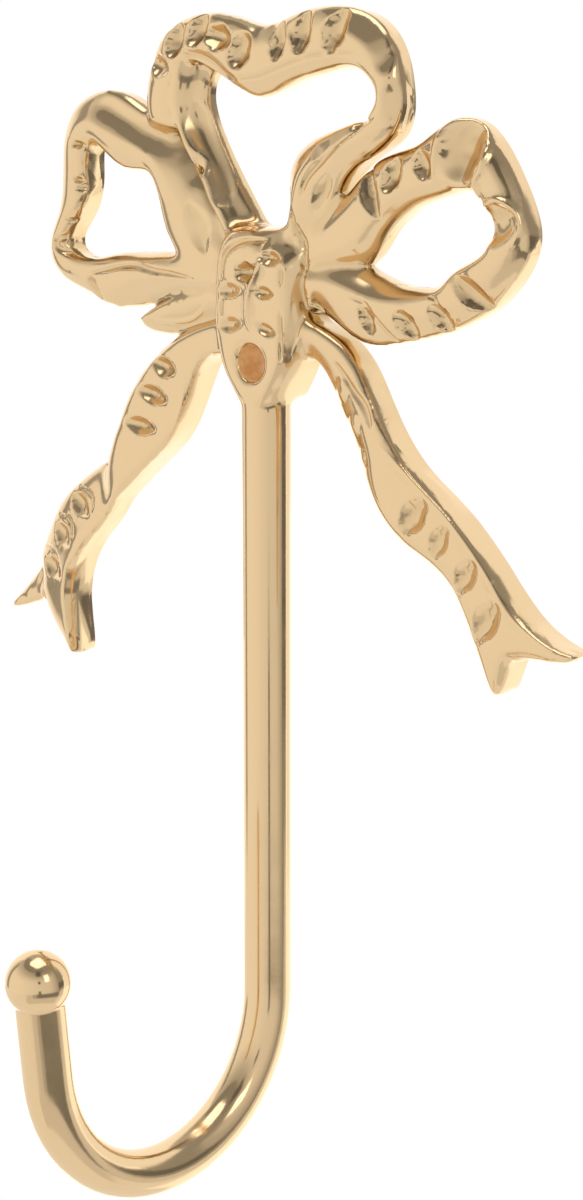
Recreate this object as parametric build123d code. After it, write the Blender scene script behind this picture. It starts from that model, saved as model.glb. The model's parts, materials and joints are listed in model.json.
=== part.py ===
# Cast bow coat hook: a ribbon bow with a pierced knot, a round shank and a ball-ended hook, in one piece.
# Front view: +X right, +Z up, the wall is the plane Y = 0 and the front faces -Y.
# The origin lies on the wall, on the axis of the screw hole.
import os
from math import cos, radians, sin

from build123d import *

# Driving dimensions, in millimetres and degrees
rod_diameter = 6.0
rod_axis_depth = 3.5
shank_drop = 79.2
bend_radius = 18.7
bend_angle = 174.0
arm_length = 12.1
ball_diameter = 7.8
screw_hole_diameter = 4.4
knot_half_width = 6.7
knot_top = 16.2
knot_bottom = -4.6
knot_bevel = 1.4
knot_seam_rise = 0.35
knot_proud = 0.3
side_draft = 0.5
dimple_depth = 0.7
dimple_sides = 8
bow_grid = 1.0

# Sizes that follow from them
rod_radius = rod_diameter / 2
knot_front = rod_axis_depth + rod_radius + knot_proud

# The strands are made this far past the wall plane and trimmed there, each by a step more than the last
wall_overrun = 1.0
overrun_step = 0.2

# Ribbon strands, drawn on the bow's grid. Each row is one cross-section: the outer edge (x, z), the inner
# edge (x, z) and, where it changes, the profile across them as (share of the width, height off the wall).
# A row without a profile takes one between those of its neighbours.
HEART = [
    ((-20.3, 28.4), (-15.2, 27.4), [(0, 3.2), (0.25, 4.6), (0.85, 4.8), (1, 4.0)]),
    ((-20.7, 32.0), (-15.8, 31.2)),
    ((-19.6, 36.0), (-15.2, 34.4)),
    ((-16.4, 39.9), (-12.9, 36.2), [(0, 3.0), (0.2, 4.6), (0.85, 5.0), (1, 4.0)]),
    ((-10.6, 41.6), (-9.6, 34.8)),
    ((-4.0, 40.6), (-5.0, 32.3)),
    ((-0.5, 39.9), (-1.2, 31.3), [(0, 3.4), (0.08, 4.2), (0.66, 4.9), (1, 2.8)]),
    ((4.8, 41.4), (4.0, 33.0)),
    ((9.8, 42.1), (9.5, 34.2)),
    ((15.0, 41.2), (13.6, 34.6)),
    ((19.0, 37.8), (16.3, 33.3)),
    ((20.6, 33.0), (17.4, 31.2), [(0, 2.8), (0.4, 4.6), (0.9, 4.4), (1, 3.8)]),
    ((20.6, 28.8), (15.2, 29.3)),
    ((18.4, 26.0), (11.0, 28.2), [(0, 3.6), (0.12, 4.0), (0.5, 5.2), (1, 2.6)]),
    ((13.8, 23.2), (5.2, 26.1)),
    ((10.4, 19.2), (2.8, 22.4)),
    ((7.6, 15.4), (3.4, 18.2)),
    ((4.5, 11.5), (1.5, 14.0), [(0, 3.8), (0.12, 4.2), (0.6, 5.4), (1, 2.6)]),
]
HEART_CHANNEL = [
    ((-14.5, 36.0), (-9.5, 35.0), [(0, 3.8), (0.2, 4.8), (0.5, 2.6), (1, 1.4)]),
    ((-15.8, 31.6), (-11.6, 31.6)),
    ((-14.6, 27.0), (-10.0, 27.0)),
    ((-11.2, 22.0), (-6.8, 22.0)),
    ((-8.2, 17.3), (-3.6, 17.6)),
    ((-5.5, 13.0), (-1.0, 13.5), [(0, 3.8), (0.2, 4.8), (0.5, 2.6), (1, 1.4)]),
]
LEFT_LOOP = [
    ((-5.0, 13.5), (-5.0, 9.0), [(0, 2.2), (0.5, 3.7), (0.9, 4.1), (1, 4.0)]),
    ((-9.5, 18.5), (-11.8, 10.6)),
    ((-13.5, 24.0), (-16.4, 13.2)),
    ((-17.8, 28.0), (-18.4, 17.4)),
    ((-21.8, 30.0), (-20.4, 21.8)),
    ((-27.0, 32.3), (-25.3, 22.4), [(0, 2.4), (0.62, 4.8), (0.95, 3.6), (1, 3.2)]),
    ((-32.6, 31.6), (-29.2, 25.2)),
    ((-35.9, 28.2), (-31.6, 25.0)),
    ((-36.6, 22.5), (-31.6, 21.3), [(0, 3.4), (0.45, 4.4), (0.8, 4.3), (1, 3.8)]),
    ((-37.3, 17.2), (-32.9, 17.0)),
    ((-39.2, 13.0), (-35.6, 13.6)),
    ((-38.0, 9.0), (-35.0, 11.9), [(0, 3.0), (0.45, 4.1), (0.8, 4.0), (1, 3.2)]),
    ((-34.0, 7.0), (-32.8, 11.3)),
    ((-30.0, 5.3), (-30.4, 11.3), [(0, 3.0), (0.5, 4.3), (0.85, 4.2), (1, 2.8)]),
]
LEFT_FOOT = [
    LEFT_LOOP[-1],
    ((-25.5, 4.8), (-25.5, 12.2), [(0, 3.0), (0.5, 4.6), (0.8, 4.4), (1, 2.2)]),
    ((-21.5, 5.4), (-21.5, 12.3), [(0, 1.8), (0.5, 4.5), (0.78, 4.4), (1, 2.2)]),
    ((-17.0, 6.2), (-17.0, 12.6)),
    ((-12.0, 6.8), (-12.0, 12.0)),
    ((-4.5, 7.2), (-4.5, 10.5), [(0, 2.4), (0.5, 4.5), (0.78, 4.4), (1, 2.2)]),
]
LEAF = [
    ((-23.0, 2.8), (-22.6, 4.1), [(0, 2.4), (0.8, 4.0), (1, 3.4)]),
    ((-19.8, 1.9), (-19.0, 5.9)),
    ((-15.0, 2.4), (-14.4, 7.3)),
    ((-10.5, 4.0), (-10.0, 7.9)),
    ((-5.0, 5.0), (-5.0, 8.3), [(0, 2.4), (0.8, 4.4), (1, 3.4)]),
]
RIGHT_LOOP = [
    ((4.5, 13.5), (4.5, 9.8), [(0, 2.8), (0.3, 4.2), (0.7, 4.4), (1, 1.8)]),
    ((9.0, 17.5), (10.0, 11.2)),
    ((13.5, 22.0), (15.4, 12.6)),
    ((18.0, 25.0), (18.2, 16.0), [(0, 2.8), (0.3, 4.3), (0.72, 4.4), (1, 1.8)]),
    ((22.5, 26.3), (22.2, 18.8)),
    ((25.8, 28.4), (26.0, 20.0), [(0, 2.6), (0.25, 4.4), (0.8, 4.4), (1, 2.6)]),
    ((29.8, 29.6), (29.6, 20.9)),
    ((34.4, 26.4), (32.4, 20.3)),
    ((38.3, 20.0), (34.0, 17.0), [(0, 2.6), (0.35, 4.4), (0.8, 4.4), (1, 3.6)]),
    ((39.2, 15.0), (33.0, 14.4)),
    ((36.0, 9.8), (29.8, 12.9)),
    ((29.8, 5.7), (27.2, 11.2), [(0, 3.0), (0.4, 4.4), (0.8, 4.5), (1, 2.6)]),
]
RIGHT_FOOT = [
    RIGHT_LOOP[-1],
    ((25.5, 4.2), (25.0, 10.3)),
    ((20.5, 3.4), (20.5, 10.2), [(0, 3.2), (0.35, 4.1), (0.72, 4.8), (1, 2.0)]),
    ((15.5, 2.9), (16.0, 11.4)),
    ((10.5, 5.2), (11.0, 12.6)),
    ((5.0, 7.6), (5.0, 11.4), [(0, 3.2), (0.3, 4.1), (0.6, 4.8), (1, 2.0)]),
]
LEFT_TAIL = [
    ((-4.0, 5.8), (-4.0, 0.0), [(0, 4.0), (0.5, 4.4), (1, 4.6)]),
    ((-10.9, 3.7), (-9.8, -0.4)),
    ((-17.5, 0.9), (-12.2, -4.2)),
    ((-22.9, -4.0), (-15.5, -10.3)),
    ((-26.3, -9.5), (-20.2, -14.6)),
    ((-28.4, -15.3), (-25.3, -18.8), [(0, 4.1), (0.5, 4.5), (1, 4.7)]),
    ((-31.0, -20.5), (-28.6, -22.2), [(0, 1.6), (0.5, 2.6), (1, 3.8)]),
]
LEFT_FLAP = [
    ((-30.4, -14.9), (-26.0, -18.0), [(0, 2.2), (0.3, 3.0), (1, 3.8)]),
    ((-34.8, -17.8), (-28.8, -22.8)),
    ((-39.3, -21.6), (-31.8, -25.8)),
    ((-42.3, -26.6), (-34.0, -29.0), [(0, 2.2), (0.3, 3.6), (1, 5.2)]),
    ((-43.6, -31.0), (-35.2, -33.0)),
    ((-41.5, -36.0), (-35.0, -37.0)),
    ((-38.0, -39.9), (-34.6, -40.2)),
    ((-36.6, -41.6), (-34.8, -41.7), [(0, 3.0), (0.3, 3.8), (1, 4.6)]),
]
LEFT_TIP = [
    ((-40.5, -28.0), (-39.0, -35.0), [(0, 2.0), (0.5, 3.0), (1, 2.0)]),
    ((-44.3, -31.2), (-43.0, -35.6)),
    ((-47.4, -34.3), (-46.3, -36.6)),
    ((-49.9, -36.6), (-49.3, -37.4), [(0, 2.0), (0.5, 2.6), (1, 2.0)]),
]
RIGHT_TAIL = [
    ((5.0, 6.0), (4.0, 0.5), [(0, 4.2), (0.3, 4.8), (1, 3.2)]),
    ((13.6, 2.2), (8.5, 0.0)),
    ((17.3, -3.0), (11.2, -4.5), [(0, 4.2), (0.25, 4.8), (1, 3.2)]),
    ((20.5, -8.0), (14.0, -9.5), [(0, 4.5), (0.45, 4.7), (1, 3.3)]),
    ((24.6, -12.0), (17.0, -15.5), [(0, 4.6), (0.8, 4.5), (1, 3.4)]),
    ((29.5, -15.4), (22.0, -20.0)),
    ((34.8, -20.4), (28.2, -23.5)),
    ((39.5, -25.6), (31.8, -28.8)),
    ((44.0, -28.6), (34.0, -33.5)),
    ((48.0, -29.6), (35.4, -36.4), [(0, 4.8), (0.8, 4.3), (1, 3.6)]),
]
STRANDS = [HEART, HEART_CHANNEL, LEFT_LOOP, LEFT_FOOT, LEAF, RIGHT_LOOP, RIGHT_FOOT,
           LEFT_TAIL, LEFT_FLAP, LEFT_TIP, RIGHT_TAIL]

# The swallow-tail cut in the end of the right tail
RIGHT_NOTCH = [(38.4, -31.2), (35.8, -38.0), (51.0, -38.0), (51.0, -30.2)]

# Knot rows: share of its height, of its width and of its front depth, then the seam's x and share of its rise
KNOT = [
    (0.0, 0.45, 1.0, 0.0, 0.0),
    (0.18, 0.80, 1.0, 0.0, 0.0),
    (0.38, 0.99, 1.0, 0.1, 0.5),
    (0.66, 1.0, 1.0, -0.2, 1.0),
    (0.88, 0.92, 0.95, 1.4, 1.0),
    (1.0, 0.70, 0.72, 2.2, 0.5),
]

# Dimples: centre (x, z), direction of the long axis, length and width
DIMPLES = [
    (-17.2, 35.2, -15, 4.2, 2.6),
    (-14.3, 38.2, 70, 4.8, 3.0),
    (-10.5, 39.2, 60, 4.2, 2.8),
    (-7.0, 38.5, -15, 4.4, 3.0),
    (-3.4, 36.9, 60, 5.0, 3.4),
    (2.8, 37.9, 80, 5.0, 2.4),
    (6.5, 38.7, 80, 5.4, 3.2),
    (11.6, 38.8, 62, 5.4, 3.2),
    (9.6, 20.6, 58, 6.0, 1.8),
    (-32.7, 25.5, -8, 2.6, 1.2),
    (-32.7, 20.6, 0, 2.6, 1.4),
    (-34.0, 15.8, 0, 2.8, 1.4),
    (16.7, 20.8, -68, 7.0, 3.0),
    (20.3, 22.7, 60, 4.8, 2.8),
    (25.1, 24.0, -70, 4.0, 2.6),
    (30.6, 25.6, 80, 7.2, 5.4),
    (36.0, 18.0, 40, 5.4, 4.4),
    (32.0, 9.9, -38, 6.0, 3.0),
    (22.5, 5.8, -50, 4.2, 2.8),
    (27.5, 6.9, -50, 4.0, 2.6),
    (16.6, 6.0, -70, 4.0, 2.2),
    (-17.2, -1.9, -12, 4.8, 2.6),
    (-19.2, -5.5, -12, 6.0, 2.4),
    (-21.4, -9.6, -6, 6.2, 2.4),
    (-34.0, -21.2, -32, 5.0, 2.8),
    (-37.2, -25.5, -30, 5.0, 2.8),
    (-38.9, -30.1, -20, 5.2, 2.8),
    (24.2, -16.3, 48, 5.8, 3.4),
    (28.2, -18.8, 60, 4.8, 2.6),
    (32.1, -22.4, 55, 4.8, 2.9),
    (35.2, -27.3, 55, 6.0, 3.4),
    (12.4, -2.6, 60, 3.4, 2.4),
    (14.3, -6.6, 60, 3.6, 2.8),
    (15.4, -10.4, 60, 3.2, 2.2),
    (-0.8, 11.0, 5, 3.8, 2.2),
    (-3.6, 8.5, 3, 4.4, 1.8),
    (-3.5, 4.4, 8, 4.4, 1.8),
    (3.4, 12.7, -8, 3.6, 1.8),
    (2.7, 8.6, -8, 3.6, 1.6),
    (3.1, 4.2, -20, 3.8, 1.6),
]


def between(start, end, share):
    """The point a share of the way from start to end."""
    return tuple(a + (b - a) * share for a, b in zip(start, end))


def on_grid(point, height):
    """A point of the bow's drawing, at a height off the wall."""
    return Vector(point[0] * bow_grid, -height, point[1] * bow_grid)


def profiles_of(rows):
    """One profile for each row, filled in between the rows that give one."""
    given = [index for index, row in enumerate(rows) if len(row) == 3]
    filled = []
    for first, last in zip(given, given[1:]):
        for index in range(first, last):
            share = (index - first) / (last - first)
            corners = zip(rows[first][2], rows[last][2])
            filled.append([between(a, b, share) for a, b in corners])
    return filled + [rows[given[-1]][2]]


def section_corners(outer, inner, profile, overrun):
    """Corners of one closed cross-section, from the outer back corner to the inner back corner."""
    width = (Vector(*outer) - Vector(*inner)).length * bow_grid
    lean = side_draft / width
    outer_back = on_grid(between(outer, inner, lean), -overrun)
    inner_back = on_grid(between(inner, outer, lean), -overrun)
    front = [on_grid(between(outer, inner, share), height) for share, height in profile]
    return [outer_back, *front, inner_back]


def faceted_bar(rows):
    """A bar through rows of corners, with straight facets between smooth edge lines."""
    steps = [index / (len(rows) - 1) for index in range(len(rows))]
    lines = [Edge.make_spline(list(points), parameters=steps) for points in zip(*rows)]
    faces = [Face.make_surface_from_curves(*pair) for pair in zip(lines, lines[1:] + lines[:1])]
    ends = [Face(Wire.make_polygon(row, close=True)) for row in (rows[0], rows[-1])]
    return Solid(Shell(faces + ends))


def strand(rows, overrun):
    """One ribbon strand of the bow."""
    corners = []
    for row, profile in zip(rows, profiles_of(rows)):
        corners.append(section_corners(row[0], row[1], profile, overrun))
    return faceted_bar(corners)


def knot():
    """The wrapped knot: a bevelled barrel with a raised seam, which narrows into the shank."""
    rows = []
    for rise, width, depth, seam_x, seam in KNOT:
        z = knot_bottom + rise * (knot_top - knot_bottom)
        half = max(width * knot_half_width, rod_radius)
        front = depth * knot_front
        left = [(half, -wall_overrun), (half, front - 2 * knot_bevel)]
        left += [(half - knot_bevel / 3, front - knot_bevel / 2), (half - knot_bevel, front)]
        right = [(-x, height) for x, height in reversed(left)]
        corners = left + [(seam_x, front + seam * knot_seam_rise)] + right
        rows.append([Vector(x, -height, z) for x, height in corners])
    return faceted_bar(rows)


def hook():
    """The round shank, its forward bend and the straight arm, with the ball on its end."""
    top = Vector(0, -rod_axis_depth, knot_top / 2)
    bend_start = Vector(0, -rod_axis_depth, -shank_drop)
    bend_centre = bend_start - Vector(0, bend_radius, 0)
    turn = radians(bend_angle)

    def on_bend(angle):
        return bend_centre + Vector(0, cos(angle), -sin(angle)) * bend_radius

    ball_centre = on_bend(turn) + Vector(0, -sin(turn), -cos(turn)) * arm_length
    path = Wire([
        Edge.make_line(top, bend_start),
        Edge.make_three_point_arc(bend_start, on_bend(turn / 2), on_bend(turn)),
        Edge.make_line(on_bend(turn), ball_centre),
    ])
    rod = sweep(Plane(origin=top, z_dir=(0, 0, -1)) * Circle(rod_radius), path=path)
    return rod + Pos(ball_centre) * Sphere(ball_diameter / 2)


def spindle(length, width):
    """A closed spindle along X: two pyramids base to base."""
    turns = [radians(360 * index / dimple_sides) for index in range(dimple_sides)]
    ring = [Vector(0, cos(turn), sin(turn)) * (width / 2) for turn in turns]
    faces = []
    for tip in (Vector(-length / 2, 0, 0), Vector(length / 2, 0, 0)):
        for first, second in zip(ring, ring[1:] + ring[:1]):
            faces.append(Face(Wire.make_polygon([tip, first, second], close=True)))
    return Solid(Shell(faces))


def dimple(skin, x, z, angle, length, width):
    """A leaf-shaped chip cut, laid on the front of the skin at (x, z)."""
    sight = Axis((x * bow_grid, -bend_radius, z * bow_grid), (0, 1, 0))
    point, normal = skin.find_intersection_points(sight)[0]
    along = Vector(cos(radians(angle)), 0, sin(radians(angle)))
    along = along - normal * along.dot(normal)
    lift = width / 2 - min(dimple_depth, width / 2)
    return Plane(origin=point + normal * lift, x_dir=along, z_dir=normal) * spindle(length, width)


def bow():
    """The knot and the strands, trimmed flat where they lie on the wall, with the right tail notched."""
    body = knot()
    for index, rows in enumerate(STRANDS, 1):
        body = body.fuse(strand(rows, wall_overrun + overrun_step * index))
    notch = [on_grid(point, -wall_overrun) for point in RIGHT_NOTCH]
    cut_depth = wall_overrun + 2 * knot_front
    body = body.cut(Solid.extrude(Face(Wire.make_polygon(notch, close=True)), Vector(0, -cut_depth, 0)))
    size = body.bounding_box().size
    behind = Pos(0, size.Y, 0) * Box(2 * size.X, 2 * size.Y, 2 * size.Z)
    return body.cut(behind)


def bow_hook():
    """The whole casting: bow and hook in one, bored for the screw, with its dimples pressed in."""
    body = bow().fuse(hook())
    body = body.cut(Rot(90, 0, 0) * Cylinder(screw_hole_diameter / 2, 4 * knot_front))
    skin = body.shell()
    return body.cut(*[dimple(skin, *row) for row in DIMPLES])


if __name__ == "__main__":
    os.makedirs("parts", exist_ok=True)
    export_step(bow_hook(), "parts/bow_hook.step")
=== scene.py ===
# Finish of the cast bow coat hook: soft edges, carved dimples and folds, pale gold plating and a studio.
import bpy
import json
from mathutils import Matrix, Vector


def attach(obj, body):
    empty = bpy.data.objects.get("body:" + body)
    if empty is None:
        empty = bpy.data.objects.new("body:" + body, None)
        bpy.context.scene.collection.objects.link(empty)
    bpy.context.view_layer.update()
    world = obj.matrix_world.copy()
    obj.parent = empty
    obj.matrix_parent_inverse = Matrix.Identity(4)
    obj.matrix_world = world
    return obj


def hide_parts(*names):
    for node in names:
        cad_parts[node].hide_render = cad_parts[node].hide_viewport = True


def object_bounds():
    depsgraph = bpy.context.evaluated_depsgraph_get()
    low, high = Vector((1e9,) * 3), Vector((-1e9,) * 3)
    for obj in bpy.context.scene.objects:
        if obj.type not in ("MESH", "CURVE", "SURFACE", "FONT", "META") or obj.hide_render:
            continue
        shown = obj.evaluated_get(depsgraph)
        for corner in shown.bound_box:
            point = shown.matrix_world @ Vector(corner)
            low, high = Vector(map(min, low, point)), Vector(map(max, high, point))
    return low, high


bl_info = {
    "name": "Bow coat hook finish",
    "version": (1, 0, 0),
    "blender": (4, 5, 0),
    "location": "View3D > Sidebar > Bow hook",
    "description": "Finishes the cast bow coat hook and sets it in a plain studio",
    "category": "Object",
}

import json
from math import asin, atan2, cos, degrees, pi, radians, sin

import bmesh
import bpy
import numpy as np
from bpy.props import FloatProperty, FloatVectorProperty, IntProperty, PointerProperty
from mathutils import Vector
from mathutils.bvhtree import BVHTree
from mathutils.kdtree import KDTree

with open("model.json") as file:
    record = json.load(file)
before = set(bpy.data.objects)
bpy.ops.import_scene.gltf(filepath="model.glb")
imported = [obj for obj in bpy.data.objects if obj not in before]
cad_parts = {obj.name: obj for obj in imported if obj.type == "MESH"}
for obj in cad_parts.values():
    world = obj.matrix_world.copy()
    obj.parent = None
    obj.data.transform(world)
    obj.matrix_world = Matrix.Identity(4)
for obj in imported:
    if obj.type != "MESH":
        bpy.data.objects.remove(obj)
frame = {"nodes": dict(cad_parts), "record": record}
cad_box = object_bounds()

MM = 0.001
NODE = "bow_hook"
HOLE = next(mount for mount in frame["record"]["mounts"] if mount["name"] == "screw_hole")
HOLE_RADIUS = HOLE["dims"]["r_mm"]

# Sizes here are in millimetres and angles in degrees, unless a comment says otherwise

# The rod: a straight shank, a round bend and an arm with a ball
ROD_RADIUS = 3.0
ROD_AXIS_DEPTH = 3.5
SHANK_DROP = 79.2
BEND_RADIUS = 18.7
BEND_ANGLE = 174.0
ARM_LENGTH = 12.1
BALL_RADIUS = 3.9

# Rings of points along the arm, as shares of its length, and over the ball
ARM_RINGS = (0.2, 0.4, 0.6, 0.8, 0.97, 1.0)
BALL_RINGS = 28

# Under the knot the skin is drawn to the rod's true round, and at the cut the turned rod takes over
KNOT_BOTTOM = -4.6
ROD_TRUE_FROM = -6.2
ROD_CUT = -8.0

# Skin this far over the cut still counts as the rod's, and below this height there is only the rod
CUT_SLACK = 0.5
ROD_ALONE = -60.0

# The rim at the cut, which isn't rubbed down: its reach from the rod's axis and over the cut
RIM_REACH = 4.0
RIM_SLACK = 0.01

# The screw hole's skin: how far it may lie off its true round, and how deep it runs from the wall
HOLE_SLACK = 0.25
HOLE_DEPTH = 6.2

# Points this close are one point, and points this close to the wall lie on it
MERGE_DISTANCE = 0.002
WALL_SLACK = 0.02

# Share of the way to its neighbours' middle that one pass of rubbing draws a point
RUB_SHARE = 0.5

# Skin belongs to the front where the y of its normal lies below this
FRONT_FACING = -0.1

# Plain dimples are cleared a little past their rims, and carved bowls are rubbed down within theirs
CLEAR_MARGIN = 0.3
CLEAR_OFF_WALL = 1.5
CLEAR_PASSES = 150
BOWL_MARGIN = -0.25

# Facets: step along their line, how squarely the skin has to face them, how far off the wall, and their fade
FACET_STEP = 0.5
FACET_FACING = 0.4
FACET_OFF_WALL = 0.5
FACET_FADE = 1.6

# Lines with a half width above this fade out towards their ends, and narrower ones end more bluntly
BROAD_LINE = 1.5
BROAD_BLUNT = 0.7
NARROW_BLUNT = 0.3
LEAF_BLUNT = 0.8

# What is left of a line's width at its very ends
END_SHARE = 0.02

# Strokes with a half width from here on need no finer skin
BROAD_STROKE = 2.4

# Finer skin under a stroke: share of its half width, margin around it and y of the skin's normal
FINE_SHARE = 1.15
FINE_MARGIN = 0.25
FINE_FACING = -0.2

# The lip around a dimple, in half widths of its stroke
LIP_MIDDLE = 1.2
LIP_HALF_WIDTH = 0.2

# Carving fades in between these y of the skin's normal, and the soft waves off the wall and over the rod
CARVING_FADE = (-0.2, -0.55)
SWELL_FADE = (-0.5, -2.5)
KNOT_FADE = 2.0

# Plain side walls: greatest y of their normal, rows kept beside them, and where the back and the knot end
WALL_FACING = 0.5
WALL_MARGIN = 4
WALL_OFF_BACK = 0.7
KNOT_HALF_WIDTH = 9.0
KNOT_TOP = 18.0

# A hollow this round takes the full painted shade of a hollow
FULL_HOLLOW_RADIUS = 5.0

# How often the painted shade is spread, where it and the bore's copper start off the wall, and how far the
# bore's copper passes the hole
SPREAD_PASSES = 6
TINT_OFF_WALL = 0.05
BORE_MARGIN = 0.1

# Rays that look for what shuts a recess, for the painted shade: their angles, their start off the skin and
# their greatest slant
RAY_ELEVATIONS = (-60, -30, 0, 30, 60)
RAY_AZIMUTHS = range(0, 360, 60)
RAY_START = 0.2
RAY_SLANT = 0.2

# Edges sharper than this stay sharp
SHARP_ANGLE = 50

# Oval dimples and scoops: centre (x, z), direction of the long axis, length, width and depth
OVALS = [
    (-17.2, 35.2, -15, 3.8, 2.8, 1.12),
    (-14.3, 38.2, 70, 4.4, 3.2, 1.33),
    (-10.5, 39.3, 60, 4.2, 3.2, 1.33),
    (-7.0, 38.5, -15, 4.4, 3.2, 1.33),
    (-3.4, 36.9, 60, 4.6, 3.8, 1.4),
    (2.8, 37.9, 80, 4.8, 2.5, 1.26),
    (6.5, 38.9, 80, 5.2, 3.4, 1.4),
    (11.6, 39.0, 66, 5.2, 3.4, 1.33),
    (20.3, 22.7, 60, 4.4, 3.0, 1.33),
    (25.1, 24.0, -70, 3.6, 2.8, 1.12),
    (30.3, 25.6, 80, 7.0, 5.8, 1.7),
    (35.6, 17.6, 40, 5.0, 4.6, 1.0),
    (27.5, 6.9, -50, 3.6, 2.8, 1.19),
    (22.5, 5.8, -50, 3.8, 3.0, 1.33),
    (16.6, 6.0, -70, 3.6, 2.4, 1.12),
    (24.2, -16.3, 48, 5.6, 3.6, 1.0),
    (28.2, -18.8, 60, 4.6, 2.8, 0.8),
    (32.1, -22.4, 55, 4.6, 3.1, 0.9),
    (35.2, -27.3, 55, 5.8, 3.6, 1.0),
    (12.6, -2.6, 60, 3.0, 2.6, -0.35),
    (14.5, -6.6, 60, 3.2, 2.8, -0.35),
    (15.6, -10.4, 60, 2.8, 2.2, -0.3),
    (-0.3, 10.9, 5, 3.6, 2.7, 1.4),
]

# Pointed dimples: centre (x, z), direction of the long axis, length, width and depth
LEAVES = [
    (16.7, 20.8, -68, 7.0, 2.8, 1.25),
    (32.0, 9.9, -38, 6.0, 3.2, 1.25),
    (9.6, 20.6, 58, 6.0, 1.8, 0.5),
    (-17.2, -1.9, -12, 4.8, 2.6, 1.12),
    (-19.2, -5.5, -12, 6.2, 2.4, 1.12),
    (-21.4, -9.6, -6, 6.6, 2.4, 1.12),
    (-34.0, -21.2, -32, 5.0, 2.8, 0.9),
    (-37.2, -25.5, -30, 5.0, 2.8, 0.9),
    (-38.9, -30.1, -20, 5.2, 2.8, 0.9),
    (-3.1, 8.6, 3, 4.8, 2.0, 0.8),
    (-3.0, 4.5, 8, 4.8, 2.0, 0.8),
    (3.4, 12.7, -8, 3.2, 1.8, 0.88),
    (2.7, 8.6, -8, 3.4, 1.6, 0.81),
    (3.1, 4.2, -20, 3.8, 1.6, 0.81),
    (-32.7, 25.5, -8, 2.4, 0.9, 0.8),
    (-32.7, 21.0, 0, 1.6, 0.8, 0.8),
    (-31.6, 19.9, 2, 3.6, 0.8, 0.8),
    (-33.9, 15.7, -5, 3.0, 0.8, 0.8),
]

# Folds: half width, depth and the points (x, z) of the line
FOLDS = [
    (0.6, 0.4, [(4.0, 21.0), (4.8, 19.0), (6.0, 17.0)]),
    (2.6, 0.8, [(-13.2, 31.0), (-11.2, 26.5), (-9.2, 22.5), (-7.6, 19.6), (-6.6, 18.2)]),
    (1.1, 0.9, [(-12.5, 36.7), (-10.5, 36.4), (-8.3, 35.6), (-6.4, 34.3), (-4.4, 33.5)]),
    (0.45, 0.3, [(-4.0, 33.5), (-0.4, 33.9), (3.6, 35.1), (7.6, 36.1), (11.6, 36.6), (15.0, 36.4)]),
    (0.4, 0.35, [(14.0, 8.6), (16.4, 8.0), (17.9, 6.5), (19.4, 5.0), (20.9, 3.7)]),
    (0.4, 0.35, [(25.9, 9.2), (27.0, 9.0), (27.9, 7.8), (29.2, 6.2)]),
    (0.5, 0.6, [(7.5, 7.5), (8.5, 7.2), (9.4, 6.4)]),
    (0.6, 0.55, [(-31.7, 14.0), (-34.7, 13.8), (-36.7, 13.3), (-37.0, 12.5), (-36.1, 11.9), (-33.7, 11.3),
                 (-30.7, 11.0)]),
    (0.6, 0.5, [(-30.7, 9.2), (-27.7, 9.8), (-24.7, 10.4), (-21.7, 10.5), (-18.7, 10.1), (-15.7, 9.9),
                (-11.7, 9.5)]),
    (0.8, 0.7, [(-31.0, 8.8), (-30.2, 7.4), (-29.2, 6.0)]),
    (0.6, 0.5, [(18.0, 29.5), (13.0, 26.6), (8.3, 22.7), (6.8, 20.0)]),
    (0.4, 0.35, [(-34.9, -18.8), (-31.9, -19.8), (-31.4, -21.8)]),
    (0.4, 0.35, [(-38.5, -22.9), (-36.0, -23.5), (-34.5, -25.6)]),
    (0.4, 0.35, [(-42.0, -27.5), (-39.1, -27.9), (-37.1, -29.5)]),
    (0.7, 0.5, [(12.0, 0.8), (14.5, -2.0), (16.5, -4.0), (17.8, -6.6)]),
    (0.6, 0.6, [(-4.7, 9.8), (-4.5, 11.4), (-4.0, 12.8), (-3.0, 13.8), (-1.2, 14.5), (1.9, 14.7)]),
    (0.4, 0.5, [(-4.6, 7.5), (-4.6, 5.6)]),
    (0.6, 0.7, [(5.6, 17.6), (6.2, 15.8), (6.8, 14.2), (6.9, 12.6), (6.8, 11.0)]),
    (0.6, 0.7, [(6.8, 11.5), (6.6, 8.5), (6.5, 5.5), (5.9, 2.0), (5.5, -0.5)]),
    (0.35, 0.4, [(5.1, 11.8), (5.1, 9.4)]),
    (0.35, 0.45, [(5.2, 6.6), (5.2, 3.0), (4.9, 0.4)]),
    (1.9, 0.6, [(-13.4, 18.8), (-11.6, 15.8), (-9.8, 12.4)]),
]

# Ribs: half width, height and the points (x, z) of the line
RIBS = [
    (0.6, 0.6, [(2.4, 14.9), (2.2, 12.2), (1.4, 10.2), (0.6, 8.4), (0.3, 6.4), (0.6, 4.0)]),
    (0.55, 0.4, [(28.8, 29.2), (27.4, 28.0), (27.0, 26.0), (26.8, 22.6)]),
    (0.55, 0.4, [(32.8, 28.8), (33.9, 26.0), (33.5, 23.6), (32.5, 22.0), (32.8, 20.2)]),
    (0.55, 0.4, [(33.2, 19.5), (35.6, 20.4), (37.9, 19.2), (38.6, 17.4), (37.8, 15.2)]),
    (0.5, 0.25, [(-19.5, 3.8), (-13.5, 4.2), (-9.5, 6.5)]),
    (0.5, 0.25, [(-13.1, -3.0), (-13.9, -7.0), (-16.9, -12.0), (-24.9, -18.8), (-30.9, -24.8)]),
    (0.5, 0.25, [(18.5, -8.0), (23.5, -11.7), (29.5, -16.0), (34.5, -21.0), (38.5, -25.8), (43.5, -28.6),
                 (46.5, -29.2)]),
]

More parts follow.
